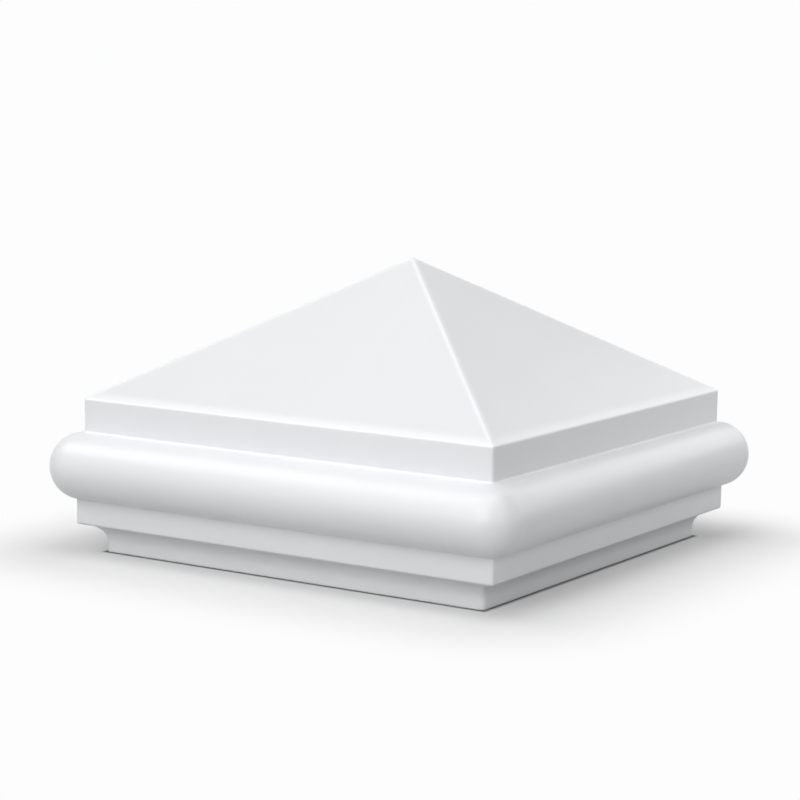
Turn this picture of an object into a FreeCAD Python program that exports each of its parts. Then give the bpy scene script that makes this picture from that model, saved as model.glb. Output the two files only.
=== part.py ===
import FreeCAD, Part
import math
import os

from FreeCAD import Vector

# Newel post cap, cast in one piece: a four-sided roof on a square moulded edge.
# Millimetres, +Z up. The origin is the middle of the flat underside, which sits on the post.

# Driving dimensions, from the underside up
BASE_SIDE = 152.4  # 6 inches, the square that sits on the post
SEAT_EDGE_RADIUS = 0.6  # eased edge round the underside
PLINTH_HEIGHT = 3.7  # straight rim at the bottom
PLINTH_CORNER_RADIUS = 2.0  # round of the rim's corners, which runs on up the cove
COVE_RADIUS = 6.35  # quarter-round hollow between the rim and the lower fascia
LOWER_FASCIA_HEIGHT = 8.75  # flat band from the cove to the bullnose
BULLNOSE_RADIUS = 11.7  # half round along the sides, a quarter ball at each corner
CREASE_RADIUS = 0.7  # small hollow where the upper fascia rises from the bullnose
UPPER_FASCIA_OVERHANG = 5.45  # how far the flat band above the bullnose stands out past the base
UPPER_FASCIA_HEIGHT = 11.775  # from the top of the bullnose to the eave
ROOF_RISE = 48.6  # from the eave to the point where the four slopes would meet
EDGE_RADIUS = 1.0  # moulded round on the hips, the eave and the edges of both fascias

# Half the side of the square that each member makes
BASE_HALF = BASE_SIDE / 2
COVE_HALF = BASE_HALF + COVE_RADIUS
LOWER_HALF = COVE_HALF + EDGE_RADIUS
UPPER_HALF = BASE_HALF + UPPER_FASCIA_OVERHANG

# Levels
COVE_TOP = PLINTH_HEIGHT + COVE_RADIUS
NOSE_BOTTOM = COVE_TOP + LOWER_FASCIA_HEIGHT
NOSE_MIDDLE = NOSE_BOTTOM + BULLNOSE_RADIUS
NOSE_TOP = NOSE_MIDDLE + BULLNOSE_RADIUS
EAVE = NOSE_TOP + UPPER_FASCIA_HEIGHT

UP = Vector(0, 0, 1)
ORIGIN = Vector(0, 0, 0)
NEAR = 0.01  # places closer than this count as one


def point(x, z):
    """A point of a profile, which is drawn in the plane y = 0."""
    return Vector(x, 0, z)


def line(start, end):
    return Part.LineSegment(start, end).toShape()


def arc(centre, radius, start, end):
    """A round stretch of a profile, between two angles in degrees."""
    angles = [math.radians(angle) for angle in (start, (start + end) / 2, end)]
    places = [centre + point(math.cos(angle), math.sin(angle)) * radius for angle in angles]
    return Part.Arc(*places).toShape()


def mitred(right_side):
    """A block with the same profile on its four sides, which meet in mitres at the corners.

    right_side is the profile's edges on the +X side, in order from the bottom to the top.
    """
    left_side = [edge.mirror(ORIGIN, Vector(1, 0, 0)) for edge in right_side]
    ends = (right_side[0].Vertexes[0].Point, right_side[-1].Vertexes[-1].Point)
    # A side that ends on the centre line meets its mirror image there
    closing = [line(end, point(-end.x, end.z)) for end in ends if end.x > 0]
    outline = Part.Wire(Part.__sortEdges__(right_side + left_side + closing))
    profile = Part.Face(outline)
    reach = profile.BoundBox.XMax
    profile.translate(Vector(0, -reach, 0))
    along_y = profile.extrude(Vector(0, 2 * reach, 0))
    along_x = along_y.copy()
    along_x.rotate(ORIGIN, UP, 90)
    return along_y.common(along_x).Solids[0]


def eased(core):
    """Grow a block that was drawn smaller by the edge radius, so that its edges come out round."""
    round_joins = 0
    return core.makeOffsetShape(EDGE_RADIUS, Part.Precision.approximation(), join=round_joins)


def foot():
    """The plinth and the cove, with a stub that reaches up into the lower fascia."""
    rim_top = point(BASE_HALF, PLINTH_HEIGHT)
    cove_top = point(COVE_HALF, COVE_TOP)
    stub_top = point(COVE_HALF, COVE_TOP + LOWER_FASCIA_HEIGHT / 2)
    block = mitred([
        line(point(BASE_HALF, 0), rim_top),
        arc(point(COVE_HALF, PLINTH_HEIGHT), COVE_RADIUS, 180, 90),
        line(cove_top, stub_top),
    ])
    block = block.makeFillet(PLINTH_CORNER_RADIUS, corner_edges(block, COVE_TOP))
    seat_edges = [edge for edge in block.Edges if edge.BoundBox.ZMax < SEAT_EDGE_RADIUS]
    return block.makeFillet(SEAT_EDGE_RADIUS, seat_edges)


def corner_edges(block, top):
    """The edges below a level that lie in the mitre planes, where two sides of a block meet."""
    edges = []
    for edge in block.Edges:
        centre = edge.CenterOfMass
        if centre.z < top and math.isclose(abs(centre.x), abs(centre.y)):
            edges.append(edge)
    return edges


def lower_fascia():
    """The flat band under the bullnose, up to the bullnose's middle."""
    half = LOWER_HALF - EDGE_RADIUS
    low = point(half, COVE_TOP + EDGE_RADIUS)
    high = point(half, NOSE_MIDDLE - EDGE_RADIUS)
    return eased(mitred([line(low, high)]))


def bullnose():
    """A slab with half-round sides and a quarter ball at each corner."""
    bottom = Vector(UPPER_HALF, -UPPER_HALF, NOSE_BOTTOM)
    tip = Vector(UPPER_HALF + BULLNOSE_RADIUS, -UPPER_HALF, NOSE_MIDDLE)
    top = Vector(UPPER_HALF, -UPPER_HALF, NOSE_TOP)
    half_disc = Part.Face(Part.Wire([Part.Arc(bottom, tip, top).toShape(), line(top, bottom)]))
    side = half_disc.extrude(Vector(0, 2 * UPPER_HALF, 0))
    ball = half_disc.revolve(top, UP, -90)
    rim = []
    for quarter_turn in (0, 90, 180, 270):
        for piece in (side, ball):
            copy = piece.copy()
            copy.rotate(ORIGIN, UP, quarter_turn)
            rim.append(copy)
    corner = Vector(-UPPER_HALF, -UPPER_HALF, NOSE_BOTTOM)
    slab = Part.makeBox(2 * UPPER_HALF, 2 * UPPER_HALF, 2 * BULLNOSE_RADIUS, corner)
    return slab.fuse(rim)


def roof():
    """The upper fascia and the four slopes, down to the bullnose's middle."""
    half = UPPER_HALF - EDGE_RADIUS
    pitch = math.atan2(ROOF_RISE, UPPER_HALF)
    peak = EAVE + ROOF_RISE - EDGE_RADIUS / math.cos(pitch)
    low = point(half, NOSE_MIDDLE + EDGE_RADIUS)
    eave = point(half, peak - half * math.tan(pitch))
    return eased(mitred([line(low, eave), line(eave, point(0, peak))]))


def crease_edges(cap):
    """The edges where the upper fascia rises from the bullnose."""
    edges = []
    for edge in cap.Edges:
        box = edge.BoundBox
        reach = max(box.XMax, -box.XMin, box.YMax, -box.YMin)
        on_nose = box.ZMin > NOSE_MIDDLE and box.ZMax < NOSE_TOP + NEAR
        if on_nose and reach < UPPER_HALF + NEAR:
            edges.append(edge)
    return edges


def newel_post_cap():
    members = [foot(), lower_fascia(), roof()]
    cap = bullnose().fuse(members).removeSplitter().Solids[0]
    return cap.makeFillet(CREASE_RADIUS, crease_edges(cap)).Solids[0]


os.makedirs("parts", exist_ok=True)
newel_post_cap().exportStep("parts/newel_post_cap.step")
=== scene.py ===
import math

import bmesh
import bpy
from mathutils import Euler, Matrix, Vector


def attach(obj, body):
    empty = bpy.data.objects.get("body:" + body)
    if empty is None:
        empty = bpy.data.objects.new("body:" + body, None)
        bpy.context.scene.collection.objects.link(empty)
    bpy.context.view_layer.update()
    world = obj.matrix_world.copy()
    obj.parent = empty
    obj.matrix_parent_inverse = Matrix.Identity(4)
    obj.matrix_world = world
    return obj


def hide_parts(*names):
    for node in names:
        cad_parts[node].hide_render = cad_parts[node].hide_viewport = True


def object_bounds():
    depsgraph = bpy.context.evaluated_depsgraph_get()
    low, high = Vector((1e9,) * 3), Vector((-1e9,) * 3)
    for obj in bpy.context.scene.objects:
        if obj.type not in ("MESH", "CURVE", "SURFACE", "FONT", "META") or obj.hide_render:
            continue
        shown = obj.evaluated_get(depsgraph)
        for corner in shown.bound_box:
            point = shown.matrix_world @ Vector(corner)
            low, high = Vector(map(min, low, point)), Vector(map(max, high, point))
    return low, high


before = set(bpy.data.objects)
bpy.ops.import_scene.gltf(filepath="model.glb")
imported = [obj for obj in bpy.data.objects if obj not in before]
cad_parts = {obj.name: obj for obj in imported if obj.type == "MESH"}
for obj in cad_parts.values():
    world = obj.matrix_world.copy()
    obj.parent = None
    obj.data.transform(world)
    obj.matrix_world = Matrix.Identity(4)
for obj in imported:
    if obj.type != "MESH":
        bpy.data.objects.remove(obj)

# Newel post cap, cast in one piece: a four-sided roof on a square moulded edge, primed white.
# Blender works in metres, so each real size is written in millimetres and multiplied by MM.

MM = 0.001
CAP_NODE = "newel_post_cap"
cad_low, cad_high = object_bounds()

# Sizes of the casting, from the underside up, the same as in the solid that it stands for
BASE_HALF = 76.2 * MM
SEAT_EDGE_RADIUS = 0.6 * MM
RIM_HEIGHT = 3.7 * MM
RIM_CORNER = 2.0 * MM
COVE_RADIUS = 6.35 * MM
LOWER_FASCIA_HEIGHT = 8.75 * MM
BULLNOSE_RADIUS = 11.7 * MM
CREASE_RADIUS = 0.7 * MM
UPPER_FASCIA_HEIGHT = 11.775 * MM
ROOF_RISE = 48.6 * MM
EDGE_RADIUS = 1.0 * MM

# Half the side of the square that each member makes
COVE_HALF = BASE_HALF + COVE_RADIUS
LOWER_HALF = COVE_HALF + EDGE_RADIUS
UPPER_HALF = cad_high.x - BULLNOSE_RADIUS  # also the middle of the bullnose's round
CREASE_HALF = UPPER_HALF + CREASE_RADIUS  # to the middle of its hollow

# Levels
COVE_TOP = RIM_HEIGHT + COVE_RADIUS
NOSE_MIDDLE = COVE_TOP + LOWER_FASCIA_HEIGHT + BULLNOSE_RADIUS
EAVE = NOSE_MIDDLE + BULLNOSE_RADIUS + UPPER_FASCIA_HEIGHT
PEAK = cad_high.z

# Where the hollow over the bullnose begins, in degrees up from the middle of the bullnose
CREASE_FOOT = math.degrees(math.acos(CREASE_RADIUS / (BULLNOSE_RADIUS + CREASE_RADIUS)))

# Fineness of the mesh
CORNER_SEGMENTS = 20  # in each corner, seen from above
COVE_SEGMENTS = 14
BULLNOSE_SEGMENTS = 40
EDGE_SEGMENTS = 6  # in each moulded round and hollow
CREASE_ANGLE = math.radians(30)  # a sharper fold than this is shaded as a crease
WELD = 0.001 * MM  # points closer than this become one
POINT_FLAT = 2 * WELD  # half the flat that is left at the roof's point, so that its loops keep four sides

BACKGROUND_WHITE = "#FDFDFE"

# A level of the casting is half the side of its square, its height and the radius of its corners.


def arc(start, end, segments):
    """Angles from start to end, given in degrees, in equal steps with both ends included."""
    return [math.radians(start + (end - start) * step / segments) for step in range(segments + 1)]


def rolled(half, height, radius, angles):
    """Levels of the surface that a ball makes when it is rolled round a square of this half side."""
    return [
        (half + radius * math.cos(a), height + radius * math.sin(a), radius * math.cos(a))
        for a in angles
    ]


def hollowed(half, height, radius, angles):
    """Levels of a hollow round whose centre line is a square of this half side."""
    return [
        (half + radius * math.cos(a), height + radius * math.sin(a), -radius * math.cos(a))
        for a in angles
    ]


def foot_levels():
    """Eased seat edge, straight rim and the cove, whose corners are rounded less towards the top."""
    seat = BASE_HALF - SEAT_EDGE_RADIUS
    seat_corner = RIM_CORNER - SEAT_EDGE_RADIUS
    eased = rolled(seat, SEAT_EDGE_RADIUS, SEAT_EDGE_RADIUS, arc(-90, 0, EDGE_SEGMENTS))
    rim = [(half, height, seat_corner + corner) for half, height, corner in eased]
    hollow = hollowed(COVE_HALF, RIM_HEIGHT, COVE_RADIUS, arc(180, 90, COVE_SEGMENTS)[:-1])
    cove = [(half, height, corner * RIM_CORNER / COVE_RADIUS) for half, height, corner in hollow]
    return rim + cove


def lower_fascia_levels():
    """Round lip over the cove, then the flat band up to the crease under the bullnose."""
    lip = rolled(COVE_HALF, COVE_TOP + EDGE_RADIUS, EDGE_RADIUS, arc(-90, 0, EDGE_SEGMENTS)[1:])
    overhang = LOWER_HALF - UPPER_HALF
    crease = NOSE_MIDDLE - math.sqrt(BULLNOSE_RADIUS**2 - overhang**2)
    return lip + [(LOWER_HALF, crease, EDGE_RADIUS)]


def bullnose_levels():
    """Half round along the sides, which turns each corner as a quarter of a ball."""
    lowest = -math.degrees(math.acos((LOWER_HALF - UPPER_HALF) / BULLNOSE_RADIUS))
    turn = arc(lowest, CREASE_FOOT, BULLNOSE_SEGMENTS)[1:]
    return rolled(UPPER_HALF, NOSE_MIDDLE, BULLNOSE_RADIUS, turn)


def roof_levels():
    """Upper fascia with the hollow at its foot, the eave and the four slopes, all edges eased alike."""
    pitch = math.atan2(ROOF_RISE, UPPER_HALF)
    steepest = 90 - math.degrees(pitch)
    eave_centre = EAVE + EDGE_RADIUS * (math.tan(pitch) - 1 / math.cos(pitch))
    crease_centre = NOSE_MIDDLE + (BULLNOSE_RADIUS + CREASE_RADIUS) * math.sin(math.radians(CREASE_FOOT))
    crease_turn = arc(180 + CREASE_FOOT, 180, EDGE_SEGMENTS)[1:]
    hollow = hollowed(CREASE_HALF, crease_centre, CREASE_RADIUS, crease_turn)
    crease = [(half, height, EDGE_RADIUS) for half, height, _ in hollow]
    eave = rolled(UPPER_HALF - EDGE_RADIUS, eave_centre, EDGE_RADIUS, arc(0, steepest, EDGE_SEGMENTS))
    point = rolled(POINT_FLAT, PEAK - EDGE_RADIUS, EDGE_RADIUS, arc(steepest, 90, EDGE_SEGMENTS)[:-1])
    return crease + eave + point


def add_level(half, height, corner):
    """One level of the moulding: a square with rounded corners, left as a loop of edges."""
    bpy.ops.mesh.select_all(action="DESELECT")
    bpy.ops.mesh.primitive_plane_add(size=2 * half, location=(0, 0, height))
    bpy.ops.mesh.bevel(offset=corner, segments=CORNER_SEGMENTS, affect="VERTICES")
    bpy.ops.mesh.delete(type="ONLY_FACE")


def select_level(piece, height):
    """Select only the loop at this height."""
    mesh = bmesh.from_edit_mesh(piece.data)
    for vertex in mesh.verts:
        vertex.select_set(abs(vertex.co.z - height) < WELD)
    mesh.select_flush(True)
    mesh.select_flush(False)
    bmesh.update_edit_mesh(piece.data)


def cap_casting():
    """The whole casting as one closed skin over its levels."""
    levels = foot_levels() + lower_fascia_levels() + bullnose_levels() + roof_levels()
    bpy.ops.object.select_all(action="DESELECT")
    bpy.ops.mesh.primitive_plane_add(size=2 * BASE_HALF)
    casting = bpy.context.object
    casting.name = "cap_casting"
    casting.data.name = "cap_casting"
    bpy.ops.object.mode_set(mode="EDIT")
    bpy.ops.mesh.delete(type="VERT")
    for half, height, corner in levels:
        add_level(half, height, corner)
    bpy.ops.mesh.select_all(action="SELECT")
    bpy.ops.mesh.bridge_edge_loops()

    _, underside, _ = levels[0]
    select_level(casting, underside)
    bpy.ops.mesh.edge_face_add()

    _, top, _ = levels[-1]
    select_level(casting, top)
    bpy.ops.mesh.extrude_edges_move(TRANSFORM_OT_translate={"value": (0, 0, PEAK - top)})
    bpy.ops.mesh.merge(type="CENTER")

    bpy.ops.mesh.select_all(action="SELECT")
    bpy.ops.mesh.remove_doubles(threshold=WELD)
    bpy.ops.mesh.normals_make_consistent(inside=False)
    bpy.ops.object.mode_set(mode="OBJECT")

    bpy.ops.object.shade_smooth_by_angle(angle=CREASE_ANGLE)
    weights = casting.modifiers.new("flat faces stay flat", "WEIGHTED_NORMAL")
    weights.keep_sharp = True
    bpy.ops.object.modifier_apply(modifier=weights.name)
    return casting


def linear(hex_colour):
    """An sRGB hex colour as the linear RGBA that the shaders take, by the curve of the sRGB standard."""
    toe_end = 0.04045
    toe_slope = 12.92
    offset = 0.055
    gamma = 2.4
    opaque = 1.0
    channels = [int(hex_colour[i:i + 2], 16) / 255 for i in (1, 3, 5)]
    colour = [c / toe_slope if c <= toe_end else ((c + offset) / (1 + offset)) ** gamma for c in channels]
    return colour + [opaque]


def add_node(tree, kind, settings=None, inputs=None):
    """Add a node, with its settings and with each input set to a value or linked to an output."""
    node = tree.nodes.new(kind)
    for name, value in (settings or {}).items():
        setattr(node, name, value)
    for name, value in (inputs or {}).items():
        if isinstance(value, bpy.types.NodeSocket):
            tree.links.new(value, node.inputs[name])
        else:
            node.inputs[name].default_value = value
    return node


def empty_material(name):
    """A node material with nothing in it yet."""
    material = bpy.data.materials.new(name)
    material.use_nodes = True
    material.node_tree.nodes.clear()
    return material


def painted_highlight_margin(tree, place):
    """Where the highlight is painted: 1 on the hips and the eave, falling to 0 a little way in from them
    over the slopes.
    """
    hip_margin = 3 * MM
    eave_margin = 5 * MM
    eave_rise = eave_margin * ROOF_RISE / UPPER_HALF
    folded = add_node(tree, "ShaderNodeVectorMath", {"operation": "ABSOLUTE"}, {0: place})
    axes = add_node(tree, "ShaderNodeSeparateXYZ", None, {0: folded.outputs["Vector"]}).outputs
    across = add_node(tree, "ShaderNodeMath", {"operation": "SUBTRACT"}, {0: axes["X"], 1: axes["Y"]})
    run = add_node(tree, "ShaderNodeMath", {"operation": "ABSOLUTE"}, {0: across.outputs["Value"]})
    from_hip = add_node(
        tree, "ShaderNodeMath", {"operation": "DIVIDE"},
        {0: run.outputs["Value"], 1: hip_margin},
    )
    rise = add_node(tree, "ShaderNodeMath", {"operation": "SUBTRACT"}, {0: axes["Z"], 1: EAVE})
    from_eave = add_node(
        tree, "ShaderNodeMath", {"operation": "DIVIDE"},
        {0: rise.outputs["Value"], 1: eave_rise},
    )
    nearest = add_node(
        tree, "ShaderNodeMath", {"operation": "MINIMUM"},
        {0: from_hip.outputs["Value"], 1: from_eave.outputs["Value"]},
    )
    edge = add_node(
        tree, "ShaderNodeMapRange", {"interpolation_type": "SMOOTHERSTEP"},
        {"Value": nearest.outputs["Value"], "To Min": 1.0, "To Max": 0.0},
    )
    roof = add_node(
        tree, "ShaderNodeMapRange", None,
        {"Value": rise.outputs["Value"], "From Min": -EDGE_RADIUS, "From Max": 0.0},
    )
    shown = add_node(
        tree, "ShaderNodeMath", {"operation": "MULTIPLY"},
        {0: edge.outputs["Result"], 1: roof.outputs["Result"]},
    )
    return shown.outputs["Value"]


def primed_moulded_urethane():
    """High-density urethane from a smooth mould, sprayed with white primer.

    The eye gets a soft, slightly cool white with a satin sheen. A highlight is painted whiter along the
    roof's edges, and it is faintly cloudy where the primer lies thicker, and finely stippled by the spray.
    """
    # painted highlight colour, whiter along the hips and the eave
    painted_edge_highlight = linear("#F4F5F7")
    primer_thick = linear("#EAEBED")
    primer_thin = linear("#E6E7E9")
    thick_roughness = 0.29
    thin_roughness = 0.34
    primer_ior = 1.5
    cloud_size = 30 * MM
    cloud_detail = 3.0
    thin_cloud = 0.3  # the clouds' value where the primer is roughest
    thick_cloud = 0.7  # and where it is smoothest
    stipple_size = 0.9 * MM  # really about 0.3 mm, drawn coarser so that it shows
    stipple_unevenness = 0.6
    stipple_depth = 0.012 * MM
    material = empty_material("primed_moulded_urethane")
    tree = material.node_tree
    place = add_node(tree, "ShaderNodeTexCoord").outputs["Object"]
    clouds = add_node(
        tree, "ShaderNodeTexNoise", None,
        {"Vector": place, "Scale": 1 / cloud_size, "Detail": cloud_detail},
    ).outputs["Fac"]
    stipple = add_node(
        tree, "ShaderNodeTexNoise", None,
        {"Vector": place, "Scale": 1 / stipple_size, "Roughness": stipple_unevenness},
    ).outputs["Fac"]
    primer = add_node(
        tree, "ShaderNodeMix", {"data_type": "RGBA"},
        {"Factor": clouds, "A": primer_thin, "B": primer_thick},
    )
    # painted highlight: the colour turns whiter along the hips and the eave
    colour = add_node(
        tree, "ShaderNodeMix", {"data_type": "RGBA"},
        {"Factor": painted_highlight_margin(tree, place), "A": primer.outputs["Result"], "B": painted_edge_highlight},
    )
    sheen = add_node(
        tree, "ShaderNodeMapRange", None,
        {
            "Value": clouds,
            "From Min": thin_cloud,
            "From Max": thick_cloud,
            "To Min": thin_roughness,
            "To Max": thick_roughness,
        },
    )
    bump = add_node(tree, "ShaderNodeBump", None, {"Height": stipple, "Distance": stipple_depth})
    skin = add_node(
        tree, "ShaderNodeBsdfPrincipled", None,
        {
            "Base Color": colour.outputs["Result"],
            "Roughness": sheen.outputs["Result"],
            "IOR": primer_ior,
            "Normal": bump.outputs["Normal"],
        },
    )
    add_node(tree, "ShaderNodeOutputMaterial", None, {"Surface": skin.outputs["BSDF"]})
    return material


def shown_white(tree):
    """1 for rays that show the background, straight or mirrored, and 0 for those that light the object."""
    rays = add_node(tree, "ShaderNodeLightPath").outputs
    straight = add_node(
        tree, "ShaderNodeMath", {"operation": "MAXIMUM"},
        {0: rays["Is Camera Ray"], 1: rays["Is Transmission Ray"]},
    )
    every = add_node(
        tree, "ShaderNodeMath", {"operation": "MAXIMUM"},
        {0: straight.outputs["Value"], 1: rays["Is Glossy Ray"]},
    )
    return every.outputs["Value"]


def foot_distance(tree):
    """How far a place on the floor lies outside the square of the cap's foot, and 0 under it."""
    place = add_node(tree, "ShaderNodeTexCoord").outputs["Object"]
    folded = add_node(tree, "ShaderNodeVectorMath", {"operation": "ABSOLUTE"}, {0: place})
    past_foot = add_node(
        tree, "ShaderNodeVectorMath", {"operation": "SUBTRACT"},
        {0: folded.outputs["Vector"], 1: (BASE_HALF, BASE_HALF, 0.0)},
    )
    outside = add_node(
        tree, "ShaderNodeVectorMath", {"operation": "MAXIMUM"},
        {0: past_foot.outputs["Vector"], 1: (0.0, 0.0, 0.0)},
    )
    distance = add_node(
        tree, "ShaderNodeVectorMath", {"operation": "LENGTH"},
        {0: outside.outputs["Vector"]},
    )
    return distance.outputs["Value"]


def white_paper():
    """Matt studio paper, white where it is seen and greyer in the light that it throws back up.

    The lit paper, with the shadow on it, fades to plain white away from the foot of the cap. Close to
    the foot a contact shadow is painted darker on it, where the cap stands.
    """
    lit_paper = linear("#DDDDDD")
    # painted contact shadow colour, close to the foot
    painted_contact_shadow_colour = linear("#808080")
    thrown_paper = linear("#BCBCBC")
    fade_start = -20 * MM  # inside the foot, so that the shadow is a little lighter at its edge too
    fade_end = 70 * MM
    # how far out from the foot the painted contact shadow reaches
    painted_contact_shadow_width = 2 * MM
    material = empty_material("white_paper")
    tree = material.node_tree
    reach = foot_distance(tree)
    fade = add_node(
        tree, "ShaderNodeMapRange", {"interpolation_type": "SMOOTHSTEP"},
        {"Value": reach, "From Min": fade_start, "From Max": fade_end},
    )
    # 0 at the foot, where the contact shadow is painted, rising to 1 past it
    clear = add_node(
        tree, "ShaderNodeMapRange", {"interpolation_type": "SMOOTHSTEP"},
        {"Value": reach, "From Max": painted_contact_shadow_width},
    )
    paper = add_node(tree, "ShaderNodeBsdfDiffuse", None, {"Color": lit_paper})
    plain = add_node(tree, "ShaderNodeEmission", None, {"Color": linear(BACKGROUND_WHITE)})
    faded = add_node(
        tree, "ShaderNodeMixShader", None,
        {0: fade.outputs["Result"], 1: paper.outputs["BSDF"], 2: plain.outputs["Emission"]},
    )
    # painted contact shadow next to the foot
    painted_contact_shadow = add_node(tree, "ShaderNodeBsdfDiffuse", None, {"Color": painted_contact_shadow_colour})
    seen = add_node(
        tree, "ShaderNodeMixShader", None,
        {0: clear.outputs["Result"], 1: painted_contact_shadow.outputs["BSDF"], 2: faded.outputs["Shader"]},
    )
    thrown = add_node(tree, "ShaderNodeBsdfDiffuse", None, {"Color": thrown_paper})
    surface = add_node(
        tree, "ShaderNodeMixShader", None,
        {0: shown_white(tree), 1: thrown.outputs["BSDF"], 2: seen.outputs["Shader"]},
    )
    add_node(tree, "ShaderNodeOutputMaterial", None, {"Surface": surface.outputs["Shader"]})
    return material


def paper_floor():
    """The floor under the object."""
    floor_side = 60.0  # far past the picture's edges
    bpy.ops.object.select_all(action="DESELECT")
    bpy.ops.mesh.primitive_plane_add(size=floor_side)
    floor = bpy.context.object
    floor.name = "paper_floor"
    floor.data.materials.append(white_paper())
    return floor


def studio_air():
    """A white background, which is seen straight or mirrored and gives no other light."""
    world = bpy.data.worlds.new("studio_air")
    world.use_nodes = True
    tree = world.node_tree
    tree.nodes.clear()
    air = add_node(
        tree, "ShaderNodeBackground", None,
        {"Color": linear(BACKGROUND_WHITE), "Strength": shown_white(tree)},
    )
    add_node(tree, "ShaderNodeOutputWorld", None, {"Surface": air.outputs["Background"]})
    bpy.context.scene.world = world


def direction(azimuth, elevation):
    """Unit vector towards a place round the object. Azimuth 0 is the front, and it grows to the right."""
    a = math.radians(azimuth)
    e = math.radians(elevation)
    return Vector((math.sin(a) * math.cos(e), -math.cos(a) * math.cos(e), math.sin(e)))


def softbox(name, azimuth, elevation, distance, side, power):
    """A square lamp that faces the middle of the object."""
    middle = Vector((0, 0, PEAK / 2))
    lamp = bpy.data.lights.new(name, "AREA")
    lamp.size = side
    lamp.energy = power
    box = bpy.data.objects.new(name, lamp)
    box.location = middle + distance * direction(azimuth, elevation)
    box.rotation_euler = Euler((math.radians(90 - elevation), 0, math.radians(azimuth)))
    box.visible_camera = False
    bpy.context.collection.objects.link(box)


def studio_lamps():
    """Large boxes in front and on both sides, with small ones close by above and behind.

    Angles are in degrees, lengths in metres and powers in watts.
    """
    softbox("front", azimuth=0, elevation=25, distance=1.3, side=1.0, power=9.3)
    softbox("front_right", azimuth=60, elevation=25, distance=1.3, side=0.7, power=3.0)
    softbox("left", azimuth=-60, elevation=46, distance=1.3, side=0.7, power=5.0)
    softbox("above", azimuth=30, elevation=65, distance=0.45, side=0.25, power=0.57)
    softbox("behind", azimuth=158, elevation=24, distance=0.45, side=0.25, power=0.28)
    softbox("behind_low", azimuth=120, elevation=15, distance=0.45, side=0.25, power=0.33)


def photo_camera():
    """The photograph's view: nearly level, from the right of the front."""
    azimuth = 32.16
    elevation = 8.22
    distance = 888.6 * MM
    aim = Vector((-3.08 * MM, -1.93 * MM, 51.78 * MM))
    roll = math.radians(1.067)
    lens = 112.76
    sensor = 36.0
    camera = bpy.data.cameras.new("photo_camera")
    camera.lens = lens
    camera.sensor_width = sensor
    viewer = bpy.data.objects.new("photo_camera", camera)
    viewer.location = aim + distance * direction(azimuth, elevation)
    level = Euler((math.radians(90 - elevation), 0, math.radians(azimuth))).to_matrix()
    viewer.rotation_euler = (level @ Matrix.Rotation(roll, 3, "Z")).to_euler()
    bpy.context.collection.objects.link(viewer)
    bpy.context.scene.camera = viewer


casting = cap_casting()
casting.data.materials.append(primed_moulded_urethane())
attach(casting, "root")
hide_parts(CAP_NODE)

paper_floor()
studio_air()
studio_lamps()
photo_camera()
bpy.context.scene.view_settings.view_transform = "Standard"
